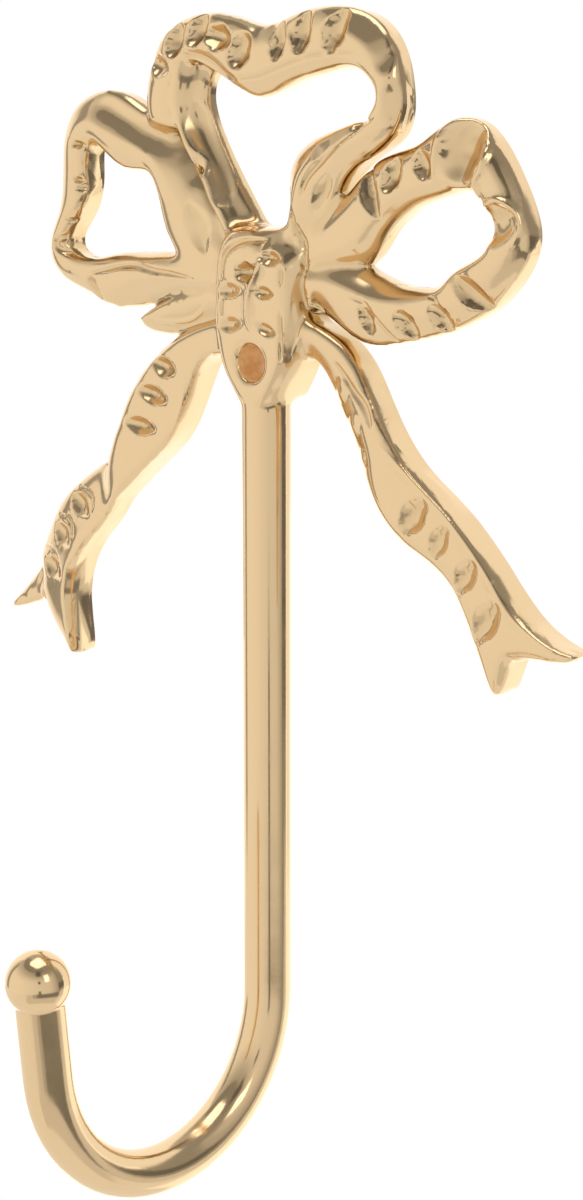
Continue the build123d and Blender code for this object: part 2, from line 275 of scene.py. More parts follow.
# Facets: reach, depth, the azimuth and elevation that they face, and the points (x, z) of their middle line
FACETS = [
    (3.2, 0.5, 20, 32, [(14.5, 39.6), (17.0, 38.4), (19.3, 36.6)]),
    (1.6, 0.4, 12, 31, [(-0.8, 39.4), (1.0, 39.4)]),
    (1.3, 0.4, 45, 24, [(19.7, 31.5), (19.6, 29.5)]),
    (1.6, 0.3, 18, 33, [(9.0, 25.6), (12.0, 27.7), (15.0, 29.4)]),
    (1.8, 0.5, 12, 31, [(2.4, 14.9), (3.8, 15.0), (5.0, 14.4)]),
    (1.3, 0.4, 45, 24, [(5.2, 14.3), (5.6, 13.3)]),
    (2.6, 0.4, 15, 33, [(-43.9, -32.0), (-46.5, -35.5)]),
    (3.0, 0.3, 64, -4, [(-33.4, -31.5), (-34.3, -40.0)]),
    (1.8, 0.45, 17, 33, [(-28.2, 29.6), (-25.5, 28.5), (-22.5, 27.2)]),
    (2.2, 0.45, 17, 33, [(-20.5, 26.4), (-17.5, 25.4), (-15.0, 23.9), (-12.6, 22.3)]),
]

# Cards that the metal mirrors: azimuth from and to, elevation from and to, and brightness
CARDS = [
    ((-180, -88), (-20, 45), 1.25),
    ((-180, -105), (-55, -8), 1.5),
    ((-79, -66), (-18, 36), 0.4),
    ((-95, 80), (50, 68), 0.3),
    ((38, 62), (38, 56), 0.15),
    ((49, 57), (12, 21), 0.12),
    ((0, 125), (-55, -36), 0.78),
    ((8, 30), (-36, -24), 0.75),
    ((30, 44), (-36, -23), 0.5),
    ((44, 126), (-36, -22), 0.24),
    ((50, 58), (-24, -12), 0.2),
    ((90, 100), (-22, 28), 0.8),
    ((100, 110), (-22, 28), 0.68),
    ((110, 120), (-22, 30), 0.55),
    ((120, 134), (-22, 60), 0.36),
    ((134, 147), (-18, 60), 0.36),
    ((121, 147), (-14, 1), 0.17),
    ((146, 180), (-55, -14), 1.45),
    ((148, 151), (-19, 6), 1.7),
    ((151, 180), (-19, 50), 1.15),
]

# The first card's distance, how much nearer each next one stands, and the room's distance, in metres
CARD_RADIUS = 0.95
CARD_GAP = 0.005
DOME_RADIUS = 1.4

# The room's azimuths and elevations, and the angle that one face of a curved panel spans
DOME_SPAN = ((-180, 180), (-60, 85))
PANEL_STEP = 5

# How the room's brightness falls off: angle from and to, and the fall
FALL_TO_RIGHT = (-40, 90, 0.2)
FALL_UPWARD = (14, 52, 0.5)
FALL_DOWNWARD = (-15, -60, 0.15)

# Soft boxes: azimuth, elevation, and width and height in metres, all at one distance in metres
KEY_BOX = (83, 29, 0.32, 0.42)
TOP_BOX = (0, 90, 0.75, 0.75)
BOX_DISTANCE = 1.1

# Where the camera stands, in metres, and how far it turns and tips
CAMERA_PLACE = (0.22097, -0.23600, 0.03290)
CAMERA_AZIMUTH = 43.0
CAMERA_ELEVATION = 11.0


class CastingSettings(bpy.types.PropertyGroup):
    """Sizes of the finished casting's surface."""
    grain: FloatProperty(
        name="Grain", description="Width of the finished surface's faces", default=0.345 * MM, unit="LENGTH")
    edge_passes: IntProperty(
        name="Edge passes", description="How often the cast edges are rubbed down", default=20)
    facet_passes: IntProperty(
        name="Facet passes", description="How often the cut facets are rubbed down", default=6)
    polish_passes: IntProperty(
        name="Polish passes", description="How often the carved surface is rubbed down", default=3)
    bowl_passes: IntProperty(
        name="Bowl passes", description="How often the bowls of the dimples are rubbed down", default=10)
    rod_sides: IntProperty(
        name="Rod sides", description="Faces around the rod", default=64)
    rod_step: FloatProperty(
        name="Rod step", description="Length of a face along the rod", default=1.8 * MM, unit="LENGTH")
    swell: FloatProperty(
        name="Swell", description="Height of the soft waves of the cast surface", default=0.14 * MM,
        unit="LENGTH")
    swell_scale: FloatProperty(
        name="Swell scale", description="Waves of the cast surface in a metre", default=150.0)
    wall_share: FloatProperty(
        name="Wall share", description="Share of the faces kept when the walls are thinned", default=0.8,
        subtype="FACTOR")
    # The rays behind the painted shade in recesses reach this far
    recess_reach: FloatProperty(
        name="Recess reach", description="How far off the casting shuts a recess", default=7 * MM,
        unit="LENGTH")
    stroke_step: FloatProperty(
        name="Stroke step", description="Distance between the points of a carved line", default=0.08 * MM,
        unit="LENGTH")


class PlatingSettings(bpy.types.PropertyGroup):
    """Colours and polish of the plating, with the colour of its painted shade."""
    gold: FloatVectorProperty(
        name="Gold", description="Colour of the polished plating", subtype="COLOR", size=3,
        default=(0.77, 0.56, 0.32))
    # Painted shade: the gold is darkened towards this colour in hollows and recesses
    shaded_gold: FloatVectorProperty(
        name="Shaded gold", description="Painted shade of the plating in hollows and recesses", subtype="COLOR", size=3,
        default=(0.50, 0.35, 0.16))
    copper: FloatVectorProperty(
        name="Copper", description="Colour of the bare metal in the screw hole", subtype="COLOR", size=3,
        default=(0.93, 0.64, 0.31))
    deep_copper: FloatVectorProperty(
        name="Deep copper", description="Colour of worn streaks in the screw hole", subtype="COLOR", size=3,
        default=(0.80, 0.50, 0.22))
    polish: FloatProperty(
        name="Polish", description="Roughness of the polished metal", default=0.13, subtype="FACTOR")
    bore_dulling: FloatProperty(
        name="Bore dulling", description="Roughness of the drilled hole", default=0.5, subtype="FACTOR")


class StudioSettings(bpy.types.PropertyGroup):
    """Floor, light and camera of the studio."""
    floor_drop: FloatProperty(
        name="Floor drop", description="Height of the part over the floor", default=700 * MM, unit="LENGTH")
    floor_size: FloatProperty(
        name="Floor size", description="Width of the floor", default=8.0, unit="LENGTH")
    pale: FloatVectorProperty(
        name="Pale", description="Colour of the floor", subtype="COLOR", size=3, default=(0.9, 0.9, 0.9))
    key_light: FloatProperty(
        name="Key light", description="Brightness of the front soft box", default=1.5)
    top_light: FloatProperty(
        name="Top light", description="Brightness of the soft box overhead", default=1.5)
    room_light: FloatProperty(
        name="Room light", description="Brightness of the white room", default=0.8)
    dome_light: FloatProperty(
        name="Dome light", description="Brightness of the room that the metal mirrors", default=1.05)
    lens: FloatProperty(
        name="Lens", description="Focal length in millimetres", default=79.5)


def direction(azimuth, elevation):
    """Unit vector away from the part; azimuth 0 is in front and 90 to the right."""
    a, e = radians(azimuth), radians(elevation)
    return Vector((sin(a) * cos(e), -cos(a) * cos(e), sin(e)))


def new_object(name, mesh):
    """A linked object at the origin."""
    obj = bpy.data.objects.new(name, mesh)
    bpy.context.scene.collection.objects.link(obj)
    return obj


def with_modifiers(obj):
    """The object's mesh with its modifiers in it; the object itself is taken away."""
    graph = bpy.context.evaluated_depsgraph_get()
    mesh = bpy.data.meshes.new_from_object(obj.evaluated_get(graph))
    bpy.data.objects.remove(obj)
    return mesh


def open_body(mesh):
    """A body for editing, made from the mesh."""
    body = bmesh.new()
    body.from_mesh(mesh)
    return body


def close_body(body, mesh):
    """Puts an edited body back into its mesh."""
    body.to_mesh(mesh)
    body.free()


def merged_casting():
    """A copy of the casting's mesh with its loose triangles joined."""
    mesh = frame["nodes"][NODE].data.copy()
    body = open_body(mesh)
    bmesh.ops.remove_doubles(body, verts=body.verts, dist=MERGE_DISTANCE * MM)
    close_body(body, mesh)
    return mesh


def even_skin(mesh, grain):
    """The mesh as an even skin of small square faces."""
    obj = new_object("skin", mesh)
    remesh = obj.modifiers.new("Even skin", "REMESH")
    remesh.mode = "VOXEL"
    remesh.voxel_size = grain
    remesh.adaptivity = 0.0
    return with_modifiers(obj)


def points_of(mesh, name="co"):
    """The mesh's points, or another vector of each point, as an array."""
    values = np.empty(len(mesh.vertices) * 3, np.float32)
    mesh.vertices.foreach_get(name, values)
    return values.reshape(-1, 3).astype(float)


def normals_of(mesh):
    """The mesh's point normals as an array."""
    return points_of(mesh, "normal")


def place_points(mesh, points):
    """Puts the mesh's points where the array says."""
    mesh.vertices.foreach_set("co", points.astype(np.float32).ravel())
    mesh.update()


def edges_of(mesh):
    """The mesh's edges as an array of point pairs."""
    pairs = np.empty(len(mesh.edges) * 2, np.int32)
    mesh.edges.foreach_get("vertices", pairs)
    return pairs.reshape(-1, 2)


def neighbour_mean(values, edges):
    """For each point, the mean of its neighbours' values."""
    count = len(values)
    first, second = edges[:, 0], edges[:, 1]
    ends = np.concatenate([first, second])
    others = np.concatenate([second, first])
    shares = np.bincount(ends, minlength=count)
    columns = values.reshape(count, -1)
    sums = [np.bincount(ends, column[others], minlength=count) for column in columns.T]
    return (np.stack(sums, 1) / np.maximum(shares, 1)[:, None]).reshape(values.shape)


def rub_down(mesh, passes):
    """Rounds the edges a little, and keeps the back flat on the wall and the rod's rim in place."""
    points = points_of(mesh)
    edges = edges_of(mesh)
    back = points[:, 1] > -WALL_SLACK * MM
    off_axis = np.hypot(points[:, 0], points[:, 1] + ROD_AXIS_DEPTH * MM)
    rim = (points[:, 2] < (ROD_CUT + RIM_SLACK) * MM) & (off_axis < RIM_REACH * MM)
    for _ in range(passes):
        moved = points + RUB_SHARE * (neighbour_mean(points, edges) - points)
        moved[back, 1] = 0.0
        moved[rim] = points[rim]
        points = moved
    place_points(mesh, points)


def rod_path():
    """Points and directions along the rod's middle line, from the cut to the end of the bend."""
    step = bpy.context.scene.bow_casting.rod_step / MM
    bend_centre = Vector((0, -ROD_AXIS_DEPTH - BEND_RADIUS, -SHANK_DROP))
    turn = radians(BEND_ANGLE)
    path = []
    shank = SHANK_DROP + ROD_CUT
    count = round(shank / step)
    for index in range(1, count):
        path.append((Vector((0, -ROD_AXIS_DEPTH, ROD_CUT - shank * index / count)), Vector((0, 0, -1))))
    count = round(BEND_RADIUS * turn / step)
    for index in range(count + 1):
        angle = turn * index / count
        out = Vector((0, cos(angle), -sin(angle)))
        path.append((bend_centre + out * BEND_RADIUS, Vector((0, -sin(angle), -cos(angle)))))
    return path


def rod_rings():
    """Rings (centre, direction, radius) along the bent rod and over the ball, and the ball's tip."""
    rings = [(centre, along, ROD_RADIUS) for centre, along in rod_path()]
    bend_end, along, _ = rings[-1]
    ball_centre = bend_end + along * ARM_LENGTH
    neck = (BALL_RADIUS ** 2 - ROD_RADIUS ** 2) ** 0.5
    straight = ARM_LENGTH - neck
    for share in ARM_RINGS:
        rings.append((bend_end + along * straight * share, along, ROD_RADIUS))
    start = atan2(ROD_RADIUS, -neck)
    for index in range(1, BALL_RINGS):
        angle = start * (1 - index / BALL_RINGS)
        rings.append((ball_centre + along * BALL_RADIUS * cos(angle), along, BALL_RADIUS * sin(angle)))
    return rings, ball_centre + along * BALL_RADIUS


def ring_points(centre, along, radius, sides):
    """Points of one ring, square to the path."""
    across = Vector((1, 0, 0))
    upward = across.cross(along)
    turns = [2 * pi * index / sides for index in range(sides)]
    return [(centre + (across * cos(turn) + upward * sin(turn)) * radius) * MM for turn in turns]


def near_rod(point):
    """Whether a point lies on the rod under the knot."""
    if point.z > (ROD_CUT + CUT_SLACK) * MM:
        return False
    if point.z < ROD_ALONE * MM:
        return True
    return Vector((point.x, point.y + ROD_AXIS_DEPTH * MM)).length < 2 * ROD_RADIUS * MM


def add_rod(body):
    """The turned rod with its ball, joined to the cast skin where that was cut."""
    sides = bpy.context.scene.bow_casting.rod_sides
    rings, tip = rod_rings()
    rows = [[body.verts.new(point) for point in ring_points(*ring, sides)] for ring in rings]
    for upper, lower in zip(rows, rows[1:]):
        for index in range(sides):
            following = (index + 1) % sides
            body.faces.new((upper[index], upper[following], lower[following], lower[index]))
    pole = body.verts.new(tip * MM)
    for index in range(sides):
        body.faces.new((rows[-1][index], rows[-1][(index + 1) % sides], pole))
    rims = [edge for edge in body.edges if edge.is_boundary and near_rod(edge.verts[0].co)]
    bmesh.ops.bridge_loops(body, edges=rims)


def cut_rod(body):
    """Takes the rod off the cast skin below the knot, leaving a level rim."""
    cut = ROD_CUT * MM
    below = [face for face in body.faces if face.calc_center_median().z < cut]
    loose = [face for face in below if near_rod(face.verts[0].co)]
    bmesh.ops.delete(body, geom=loose, context="FACES")
    for vert in body.verts:
        if vert.is_boundary and near_rod(vert.co):
            vert.co.z = cut


def on_wall(part):
    """Whether an edge or a face lies on the wall plane."""
    return all(vert.co.y > -WALL_SLACK * MM for vert in part.verts)


def open_back(body):
    """Takes off the flat back, which is filled again with few faces."""
    flat = [face for face in body.faces if on_wall(face)]
    bmesh.ops.delete(body, geom=flat, context="FACES")


def fill_back(body):
    """Closes the back with flat faces on the wall plane, and leaves the openings open."""
    shell = BVHTree.FromBMesh(body)
    rim = [edge for edge in body.edges if edge.is_boundary and on_wall(edge)]
    made = bmesh.ops.triangle_fill(body, edges=rim, use_beauty=True, normal=(0, 1, 0))["geom"]
    forward = Vector((0, -1, 0))
    over_gaps = []
    for face in made:
        if not isinstance(face, bmesh.types.BMFace):
            continue
        normal = shell.ray_cast(face.calc_center_median() - forward * MM, forward)[1]
        if normal is None or normal.dot(forward) < 0:
            over_gaps.append(face)
    bmesh.ops.delete(body, geom=over_gaps, context="FACES")


def in_dimples(points, margin):
    """Which points lie over a dimple or within a margin around it, seen from the front."""
    inside = np.zeros(len(points), bool)
    for x, z, angle, length, width, _ in [*OVALS, *LEAVES]:
        turn = radians(angle)
        across = points[:, 0] / MM - x
        upward = points[:, 2] / MM - z
        along = (across * cos(turn) + upward * sin(turn)) / (length / 2 + margin)
        aside = (upward * cos(turn) - across * sin(turn)) / (width / 2 + margin)
        inside |= along ** 2 + aside ** 2 < 1
    return inside


def clear_dimples(points, edges, normals):
    """Draws a smooth skin over the plain dimples, ready for the carved ones."""
    front = (normals[:, 1] < FRONT_FACING) & (points[:, 1] < -CLEAR_OFF_WALL * MM)
    loose = front & in_dimples(points, CLEAR_MARGIN)
    for _ in range(CLEAR_PASSES):
        points[loose] = neighbour_mean(points, edges)[loose]


def polish_bowls(mesh, passes):
    """Rubs down the bowls of the carved dimples, and leaves their rims crisp."""
    points = points_of(mesh)
    edges = edges_of(mesh)
    bowls = (normals_of(mesh)[:, 1] < FRONT_FACING) & in_dimples(points, BOWL_MARGIN)
    for _ in range(passes):
        points[bowls] += RUB_SHARE * (neighbour_mean(points, edges) - points)[bowls]
    place_points(mesh, points)


def true_rod(points):
    """Draws the skin under the knot out to the rod's true round, more so further down."""
    depth = (points[:, 2] / MM - KNOT_BOTTOM) / (ROD_TRUE_FROM - KNOT_BOTTOM)
    off_axis = points[:, :2] / MM - np.array([0, -ROD_AXIS_DEPTH])
    radius = np.linalg.norm(off_axis, axis=1)
    rod_skin = (radius < 1.5 * ROD_RADIUS) & (points[:, 1] < -WALL_SLACK * MM)
    share = np.where(rod_skin, np.clip(depth, 0, 1), 0)
    scale = 1 + share * (ROD_RADIUS / np.maximum(radius, MERGE_DISTANCE) - 1)
    points[:, :2] = (off_axis * scale[:, None] + np.array([0, -ROD_AXIS_DEPTH])) * MM


def true_hole(points):
    """Draws the skin inside the screw hole to its true round."""
    radius = np.hypot(points[:, 0], points[:, 2]) / MM
    inside = (radius < HOLE_RADIUS + HOLE_SLACK) & (points[:, 1] > -HOLE_DEPTH * MM)
    scale = HOLE_RADIUS / np.maximum(radius[inside], MERGE_DISTANCE)
    points[inside, 0] *= scale
    points[inside, 2] *= scale


def cut_facets(points, normals):
    """Cuts facets along their lines, each square to the direction it faces and faded out at its reach."""
    for reach, depth, azimuth, elevation, corners in FACETS:
        facing = np.array(direction(azimuth, elevation))
        off_wall = points[:, 1] < -FACET_OFF_WALL * MM
        turned = np.flatnonzero((normals @ facing > FACET_FACING) & off_wall)
        line = smooth_line(corners, FACET_STEP) * MM
        apart = np.hypot(points[turned, 0][:, None] - line[:, 0], points[turned, 2][:, None] - line[:, 1])
        bases = points[turned[np.argmin(apart, 0)]] - depth * MM * facing
        fade = np.clip(FACET_FADE * (1 - (apart.min(1) / (reach * MM)) ** 2), 0, 1)
        proud = np.maximum(((points[turned] - bases[np.argmin(apart, 1)]) * facing).sum(1), 0)
        points[turned] -= (proud * fade)[:, None] * facing


def smooth_line(corners, step):
    """Points along a smooth line through the corners, a step apart."""
    corners = np.array(corners, float)
    ends = np.vstack([2 * corners[0] - corners[1], corners, 2 * corners[-1] - corners[-2]])
    line = []
    for index in range(len(corners) - 1):
        before, start, end, after = ends[index:index + 4]
        count = max(2, int(np.linalg.norm(end - start) / step))
        t = np.linspace(0, 1, count, endpoint=False)[:, None]
        line.append(0.5 * (2 * start + (end - before) * t
                           + (2 * before - 5 * start + 4 * end - after) * t ** 2
                           + (3 * start - before - 3 * end + after) * t ** 3))
    return np.vstack(line + [corners[-1:]])


def stroke_points(line, half_width, rise, blunt):
    """Rows (x, z, half width, rise) along a line that narrows to its ends, less so when blunt."""
    share = np.linspace(0, 1, len(line))
    taper = np.maximum(np.sin(pi * share), END_SHARE) ** blunt
    return np.column_stack([line, half_width * taper, rise * taper])


def axis_points(x, z, angle, along):
    """Points at these distances along an axis through a centre."""
    heading = np.array([cos(radians(angle)), sin(radians(angle))])
    return np.array([x, z]) + along[:, None] * heading


def oval_rows(step):
    """Strokes whose circles fill each oval."""
    rows = []
    for x, z, angle, length, width, depth in OVALS:
        half, across = length / 2, width / 2
        reach = (half ** 2 - across ** 2) / half
        along = np.linspace(-reach, reach, max(3, int(2 * reach / step)))
        radius = across * np.sqrt(1 - along ** 2 / (half ** 2 - across ** 2))
        rise = -depth * (1 - (along / half) ** 2)
        rows.append(np.column_stack([axis_points(x, z, angle, along), radius, rise]))
    return np.vstack(rows)


def leaf_rows(step):
    """Strokes that run out to a point at both ends of each leaf."""
    rows = []
    for x, z, angle, length, width, depth in LEAVES:
        along = np.linspace(-length / 2, length / 2, int(length / step))
        rows.append(stroke_points(axis_points(x, z, angle, along), width / 2, -depth, LEAF_BLUNT))
    return np.vstack(rows)


def line_rows(lines, sign, step):
    """The strokes of folds or ribs."""
    rows = []
    for half_width, rise, corners in lines:
        blunt = BROAD_BLUNT if half_width > BROAD_LINE else NARROW_BLUNT
        rows.append(stroke_points(smooth_line(corners, step), half_width, sign * rise, blunt))
    return np.vstack(rows)


def stroke_groups(step):
    """The strokes by kind: name, rows, powers of the bowl and of its rim, and share of the lip."""
    return [
        ("ovals", oval_rows(step), 2.0, 1.0, 0.1),
        ("leaves", leaf_rows(step), 2.0, 1.0, 0.1),
        ("folds", line_rows(FOLDS, -1, step), 2.0, 1.5, 0.0),
        ("ribs", line_rows(RIBS, 1, step), 2.0, 2.0, 0.0),
    ]


def refine(mesh, rows):
    """Splits the front's faces under the strokes into four."""
    strokes = KDTree(len(rows))
    for index, row in enumerate(rows):
        strokes.insert((row[0], 0, row[1]), index)
    strokes.balance()
    body = open_body(mesh)
    under = set()
    for vert in body.verts:
        if vert.normal.y > FINE_FACING:
            continue
        _, index, distance = strokes.find((vert.co.x / MM, 0, vert.co.z / MM))
        if distance < FINE_SHARE * rows[index][2] + FINE_MARGIN:
            under.add(vert)
    edges = [edge for edge in body.edges if edge.verts[0] in under and edge.verts[1] in under]
    bmesh.ops.subdivide_edges(body, edges=edges, cuts=1, use_grid_fill=True)
    close_body(body, mesh)


def thin_walls(mesh, wall_share):
    """The mesh with fewer faces on its plain side walls."""
    points = points_of(mesh)
    edges = edges_of(mesh)
    wall = np.abs(normals_of(mesh)[:, 1])
    for _ in range(WALL_MARGIN):
        np.maximum.at(wall, edges[:, 0], wall[edges[:, 1]])
        np.maximum.at(wall, edges[:, 1], wall[edges[:, 0]])
    off_knot = (np.abs(points[:, 0]) > KNOT_HALF_WIDTH * MM) | (points[:, 2] > KNOT_TOP * MM)
    plain = (wall < WALL_FACING) & (points[:, 1] < -WALL_OFF_BACK * MM) & off_knot
    obj = new_object("thinned", mesh)
    group = obj.vertex_groups.new(name="walls")
    group.add(np.flatnonzero(plain).tolist(), 1.0, "REPLACE")
    thin = obj.modifiers.new("Thin walls", "DECIMATE")
    thin.ratio = wall_share
    thin.vertex_group = group.name
    return with_modifiers(obj)


def store(mesh, name, values):
    """Keeps a value for each point of the mesh, for a tree to read."""
    layer = mesh.attributes.new(name, "FLOAT", "POINT")
    layer.data.foreach_set("value", values.astype(np.float32))


def stroke_object(name, rows):
    """Loose points that hold the strokes, for the carving to read."""
    mesh = bpy.data.meshes.new(name)
    mesh.vertices.add(len(rows))
    place_points(mesh, np.column_stack([rows[:, 0], np.zeros(len(rows)), rows[:, 1]]) * MM)
    store(mesh, "half_width", rows[:, 2] * MM)
    store(mesh, "rise", rows[:, 3] * MM)
    return new_object(name, mesh)


def add_node(tree, kind, **settings):
    """A new node with its settings."""
    node = tree.nodes.new(kind)
    for name, value in settings.items():
        setattr(node, name, value)
    return node


def feed(tree, node, **inputs):
    """Feeds sockets and plain values into a node's inputs, by name or by number as in i0."""
    for name, value in inputs.items():
        socket = node.inputs[int(name[1:])] if name[1:].isdigit() else node.inputs[name.replace("_", " ")]
        if isinstance(value, bpy.types.NodeSocket):
            tree.links.new(value, socket)
        else:
            socket.default_value = value
    return node


def fed(tree, kind, **inputs):
    """A new node with its inputs fed."""
    return feed(tree, add_node(tree, kind), **inputs)


def maths(tree, operation, *values, clamp=False):
    """A maths node's result."""
    node = add_node(tree, "ShaderNodeMath", operation=operation, use_clamp=clamp)
    return feed(tree, node, **{f"i{index}": value for index, value in enumerate(values)}).outputs[0]


def ramp(tree, value, low, high, start=0.0, end=1.0, kind="LINEAR"):
    """A value that runs from start to end while another runs from low to high."""
    node = add_node(tree, "ShaderNodeMapRange", interpolation_type=kind)
    return feed(tree, node, Value=value, From_Min=low, From_Max=high, To_Min=start, To_Max=end).outputs[0]


def noise(tree, place, scale, detail):
    """Soft noise between 0 and 1."""
    return fed(tree, "ShaderNodeTexNoise", Vector=place, Scale=scale, Detail=detail).outputs["Fac"]


def blend(tree, share, first, second):
    """A colour between two others."""
    node = add_node(tree, "ShaderNodeMix", data_type="RGBA")
    return feed(tree, node, Factor=share, i6=first, i7=second).outputs[2]


def stored(tree, name):
    """A value that was stored on the mesh, for a material."""
    return add_node(tree, "ShaderNodeAttribute", attribute_name=name).outputs["Fac"]


def sampled(tree, source, index, field, kind="FLOAT"):
    """A field's value at the source's point with this index."""
    sample = add_node(tree, "GeometryNodeSampleIndex", data_type=kind, domain="POINT")
    return feed(tree, sample, Geometry=source, Value=field, Index=index).outputs[0]


def new_tree(name, **further):
    """A node tree that takes a mesh, further inputs and a finish, and the outlets of those inputs."""
    tree = bpy.data.node_groups.new(name, "GeometryNodeTree")
    for socket, kind in {"Geometry": "Geometry", **further, "Finish": "Material"}.items():
        tree.interface.new_socket(socket, in_out="INPUT", socket_type=f"NodeSocket{kind}")
    tree.interface.new_socket("Geometry", in_out="OUTPUT", socket_type="NodeSocketGeometry")
    return tree, add_node(tree, "NodeGroupInput").outputs


def end_tree(tree, entry, offset):
    """Moves the mesh's points by the offset, gives the mesh its finish and ends the tree."""
    moved = fed(tree, "GeometryNodeSetPosition", Geometry=entry["Geometry"], Offset=offset)
    real = fed(tree, "GeometryNodeRealizeInstances", Geometry=moved.outputs[0])
    dressed = fed(tree, "GeometryNodeSetMaterial", Geometry=real.outputs[0], Material=entry["Finish"])
    fed(tree, "NodeGroupOutput", Geometry=dressed.outputs[0])


def add_tree(obj, name, tree, **inputs):
    """Puts a tree on an object, with the tree's inputs set."""
    keys = {item.name: item.identifier for item in tree.interface.items_tree if item.in_out == "INPUT"}
    modifier = obj.modifiers.new(name, "NODES")
    modifier.node_group = tree
    for socket, value in inputs.items():
        modifier[keys[socket]] = value


def carving_tree():
    """Node tree that presses strokes into the front of a mesh, or raises them from it."""
    tree, entry = new_tree("Carving", Strokes="Object", Bowl="Float", Rim="Float", Lip="Float")
    strokes = fed(tree, "GeometryNodeObjectInfo", Object=entry["Strokes"]).outputs["Geometry"]
    place = add_node(tree, "GeometryNodeInputPosition").outputs[0]
    apart = fed(tree, "ShaderNodeSeparateXYZ", i0=place).outputs
    flat = fed(tree, "ShaderNodeCombineXYZ", X=apart["X"], Z=apart["Z"]).outputs[0]
    nearest = add_node(tree, "GeometryNodeSampleNearest", domain="POINT")
    index = feed(tree, nearest, Geometry=strokes, Sample_Position=flat).outputs["Index"]
    centre = sampled(tree, strokes, index, place, "FLOAT_VECTOR")
    named = [fed(tree, "GeometryNodeInputNamedAttribute", Name=name) for name in ("half_width", "rise")]
    half_width, rise = [sampled(tree, strokes, index, node.outputs[0]) for node in named]
    gap = add_node(tree, "ShaderNodeVectorMath", operation="DISTANCE")
    distance = feed(tree, gap, i0=flat, i1=centre).outputs["Value"]
    reach = maths(tree, "DIVIDE", distance, half_width)
    bowl = maths(tree, "SUBTRACT", 1.0, maths(tree, "POWER", reach, entry["Bowl"]), clamp=True)
    off_lip = maths(tree, "DIVIDE", maths(tree, "SUBTRACT", reach, LIP_MIDDLE), LIP_HALF_WIDTH)
    ring = maths(tree, "SUBTRACT", 1.0, maths(tree, "POWER", off_lip, 2.0), clamp=True)
    lip = maths(tree, "MULTIPLY", ring, entry["Lip"])
    profile = maths(tree, "SUBTRACT", maths(tree, "POWER", bowl, entry["Rim"]), lip)
    normal = add_node(tree, "GeometryNodeInputNormal").outputs[0]
    facing = fed(tree, "ShaderNodeSeparateXYZ", i0=normal).outputs["Y"]
    front = ramp(tree, facing, *CARVING_FADE, 0.0, -1.0, "SMOOTHSTEP")
    height = maths(tree, "MULTIPLY", maths(tree, "MULTIPLY", rise, profile), front)
    end_tree(tree, entry, fed(tree, "ShaderNodeCombineXYZ", Y=height).outputs[0])
    return tree


def swell_tree():
    """Node tree that gives the front of a mesh the soft waves of hand-finished metal."""
    tree, entry = new_tree("Swell", Height="Float", Scale="Float")
    place = add_node(tree, "GeometryNodeInputPosition").outputs[0]
    apart = fed(tree, "ShaderNodeSeparateXYZ", i0=place).outputs
    wave = maths(tree, "SUBTRACT", noise(tree, place, entry["Scale"], 0.0), 0.5)
    height = maths(tree, "MULTIPLY", wave, maths(tree, "MULTIPLY", entry["Height"], 4.0))
    off_wall = ramp(tree, apart["Y"], SWELL_FADE[0] * MM, SWELL_FADE[1] * MM, kind="SMOOTHSTEP")
    above_rod = ramp(tree, apart["Z"], KNOT_BOTTOM * MM, (KNOT_BOTTOM + KNOT_FADE) * MM, kind="SMOOTHSTEP")
    off_axis = maths(tree, "ABSOLUTE", apart["X"])
    off_rod = ramp(tree, off_axis, 1.5 * ROD_RADIUS * MM, 2 * ROD_RADIUS * MM, kind="SMOOTHSTEP")
    share = maths(tree, "MULTIPLY", off_wall, maths(tree, "MAXIMUM", above_rod, off_rod))
    normal = add_node(tree, "GeometryNodeInputNormal").outputs[0]
    outward = add_node(tree, "ShaderNodeVectorMath", operation="SCALE")
    feed(tree, outward, i0=normal, Scale=maths(tree, "MULTIPLY", height, share))
    end_tree(tree, entry, outward.outputs[0])
    return tree


def swell(mesh, settings, finish):
    """The mesh with soft waves in its front."""
    tree = swell_tree()
    obj = new_object("swollen", mesh)
    add_tree(obj, "swell", tree, Height=settings.swell, Scale=settings.swell_scale, Finish=finish)
    swollen = with_modifiers(obj)
    bpy.data.node_groups.remove(tree)
    return swollen


def carve(mesh, groups, finish):
    """The mesh with its dimples and folds pressed in and its ribs raised."""
    tree = carving_tree()
    obj = new_object("carved", mesh)
    made = []
    for name, rows, bowl, rim, lip in groups:
        strokes = stroke_object(name, rows)
        add_tree(obj, name, tree, Strokes=strokes, Bowl=bowl, Rim=rim, Lip=lip, Finish=finish)
        made.append(strokes)
    carved = with_modifiers(obj)
    for strokes in made:
        bpy.data.objects.remove(strokes)
    bpy.data.node_groups.remove(tree)
    return carved


def spread(values, edges):
    """Values drawn out to the neighbours a few times."""
    for _ in range(SPREAD_PASSES):
        values = neighbour_mean(values, edges)
    return values


def hollowness(points, edges, normals):
    """How far each point lies in a hollow (above 0) or on an edge (below 0), for the painted shade in
    hollows.
    """
    lengths = ((points[edges[:, 0]] - points[edges[:, 1]]) ** 2).sum(1)
    ends = edges.ravel()
    spacing = np.bincount(ends, np.repeat(lengths, 2)) / np.bincount(ends)
    bend = 2 * ((neighbour_mean(points, edges) - points) * normals).sum(1) / spacing
    return np.clip(spread(bend, edges) * FULL_HOLLOW_RADIUS * MM, -1, 1)


